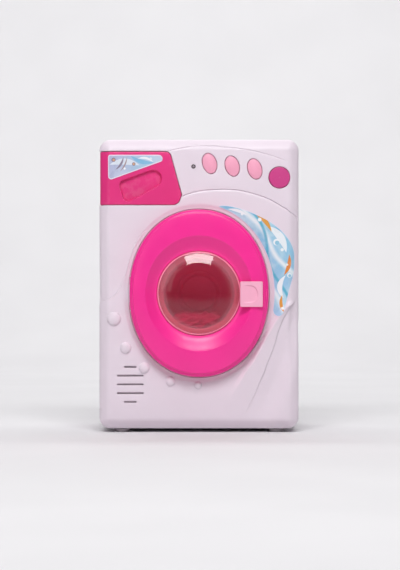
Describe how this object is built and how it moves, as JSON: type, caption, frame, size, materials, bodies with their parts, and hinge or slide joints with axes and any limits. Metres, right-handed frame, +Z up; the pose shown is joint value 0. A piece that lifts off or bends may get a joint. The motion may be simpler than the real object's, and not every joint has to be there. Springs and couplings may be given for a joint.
{
  "type": "toy washing machine",
  "caption": "Toy front-loading washing machine with an oval hinged door, domed window, sliding drawer, push buttons, and a geared turning drum.",
  "frame": {"origin": "on the floor, under the middle of the bounding box", "axes": "+Z up, -Y out of the front face with the door, +X to the right seen from the front"},
  "size_m": [0.16, 0.118, 0.235],
  "materials": {
    "body_plastic": "moulded, satin, pale lilac-white",
    "door_plastic": "moulded, glossy, magenta pink",
    "drawer_plastic": "moulded, glossy, deep pink",
    "pale_pink_plastic": "moulded, satin, pale pink",
    "start_plastic": "moulded, satin, dark pink",
    "window_plastic": "clear, rose-tinted, polished",
    "drum_plastic": "moulded, satin, deep pink",
    "white_plastic": "moulded, plain",
    "steel": "bright",
    "motor_metal": null,
    "grey_rubber": "soft, matt",
    "circuit_board": "green solder mask",
    "led_lens": "clear lens",
    "black_plastic": "moulded, plain",
    "paper_cone": "pressed paper",
    "cell_wrap": null,
    "sticker": "glossy film",
    "cloth": "thin crimson cloth",
    "red_wire": "insulated",
    "black_wire": "insulated"
  },
  "bodies": {
    "cabinet": {"front_shell": "body_plastic", "rear_shell": "body_plastic", "foot_front_left": "grey_rubber", "foot_front_right": "grey_rubber", "foot_rear_left": "grey_rubber", "foot_rear_right": "grey_rubber", "housing_screw_1": "steel", "housing_screw_2": "steel", "housing_screw_3": "steel", "housing_screw_4": "steel", "battery_box": "white_plastic", "battery_cover": "body_plastic", "battery_cover_screw": "steel", "battery_cell_1": "cell_wrap", "battery_cell_2": "cell_wrap", "battery_cell_3": "cell_wrap", "battery_contact_left": "steel", "battery_contact_right": "steel", "drawer_sleeve": "white_plastic", "front_sticker": "sticker", "control_pcb": "circuit_board", "keypad_mat": "grey_rubber", "indicator_led": "led_lens", "speaker_frame": "black_plastic", "speaker_cone": "paper_cone", "speaker_magnet": "steel", "tub": "white_plastic", "drum_bush": "black_plastic", "gearbox_front": "white_plastic", "gearbox_rear": "white_plastic", "gearbox_screw_1": "steel", "gearbox_screw_2": "steel", "gearbox_screw_3": "steel", "idler_axle": "steel", "motor_can": "motor_metal", "battery_wire": "red_wire", "speaker_wire": "black_wire"},
    "door": {"door_ring": "door_plastic", "door_back_ring": "pale_pink_plastic", "window_dome": "window_plastic", "hinge_pin": "steel", "latch_spring": "steel", "door_screw_1": "steel", "door_screw_2": "steel", "door_screw_3": "steel", "door_screw_4": "steel"},
    "latch": {"door_latch": "pale_pink_plastic"},
    "drawer": {"detergent_drawer": "drawer_plastic", "drawer_sticker": "sticker"},
    "button_1": {"program_button_1": "pale_pink_plastic"},
    "button_2": {"program_button_2": "pale_pink_plastic"},
    "button_3": {"program_button_3": "pale_pink_plastic"},
    "start": {"start_button": "start_plastic"},
    "drum": {"drum": "drum_plastic", "drum_shaft": "steel", "drum_gear": "white_plastic", "laundry_cloth": "cloth"},
    "idler": {"idler_gear": "white_plastic"},
    "motor_rotor": {"motor_pinion": "white_plastic", "motor_shaft": "steel"}
  },
  "joints": [
    {"name": "door_hinge", "type": "hinge", "parent": "cabinet", "child": "door", "pos_m": [-0.053, -0.0492, 0.1116], "axis": [0, 0, -1], "range_deg": [0, 100]},
    {"name": "latch_slide", "type": "slide", "parent": "door", "child": "latch", "axis": [1, 0, 0], "range_m": [0, 0.0025], "stiffness_N_per_m": 300, "springref_m": -0.003, "deforming": ["latch_spring"]},
    {"name": "drawer_slide", "type": "slide", "parent": "cabinet", "child": "drawer", "axis": [0, -1, 0], "range_m": [0, 0.04]},
    {"name": "button_1_press", "type": "slide", "parent": "cabinet", "child": "button_1", "axis": [0, 1, 0], "range_m": [0, 0.0012], "stiffness_N_per_m": 400, "springref_m": -0.001},
    {"name": "button_2_press", "type": "slide", "parent": "cabinet", "child": "button_2", "axis": [0, 1, 0], "range_m": [0, 0.0012], "stiffness_N_per_m": 400, "springref_m": -0.001},
    {"name": "button_3_press", "type": "slide", "parent": "cabinet", "child": "button_3", "axis": [0, 1, 0], "range_m": [0, 0.0012], "stiffness_N_per_m": 400, "springref_m": -0.001},
    {"name": "start_press", "type": "slide", "parent": "cabinet", "child": "start", "axis": [0, 1, 0], "range_m": [0, 0.0012], "stiffness_N_per_m": 400, "springref_m": -0.001},
    {"name": "drum_spin", "type": "hinge", "parent": "cabinet", "child": "drum", "pos_m": [0, 0, 0.1116], "axis": [0, 1, 0], "continuous": true},
    {"name": "idler_spin", "type": "hinge", "parent": "cabinet", "child": "idler", "pos_m": [0.015, 0.025, 0.13758], "axis": [0, 1, 0], "continuous": true},
    {"name": "motor_spin", "type": "hinge", "parent": "cabinet", "child": "motor_rotor", "pos_m": [0.039, 0.029, 0.13758], "axis": [0, 1, 0], "continuous": true}
  ],
  "couplings": [
    {"joint": "idler_spin", "follows": "drum_spin", "ratio": -4},
    {"joint": "motor_spin", "follows": "drum_spin", "ratio": 12}
  ]
}
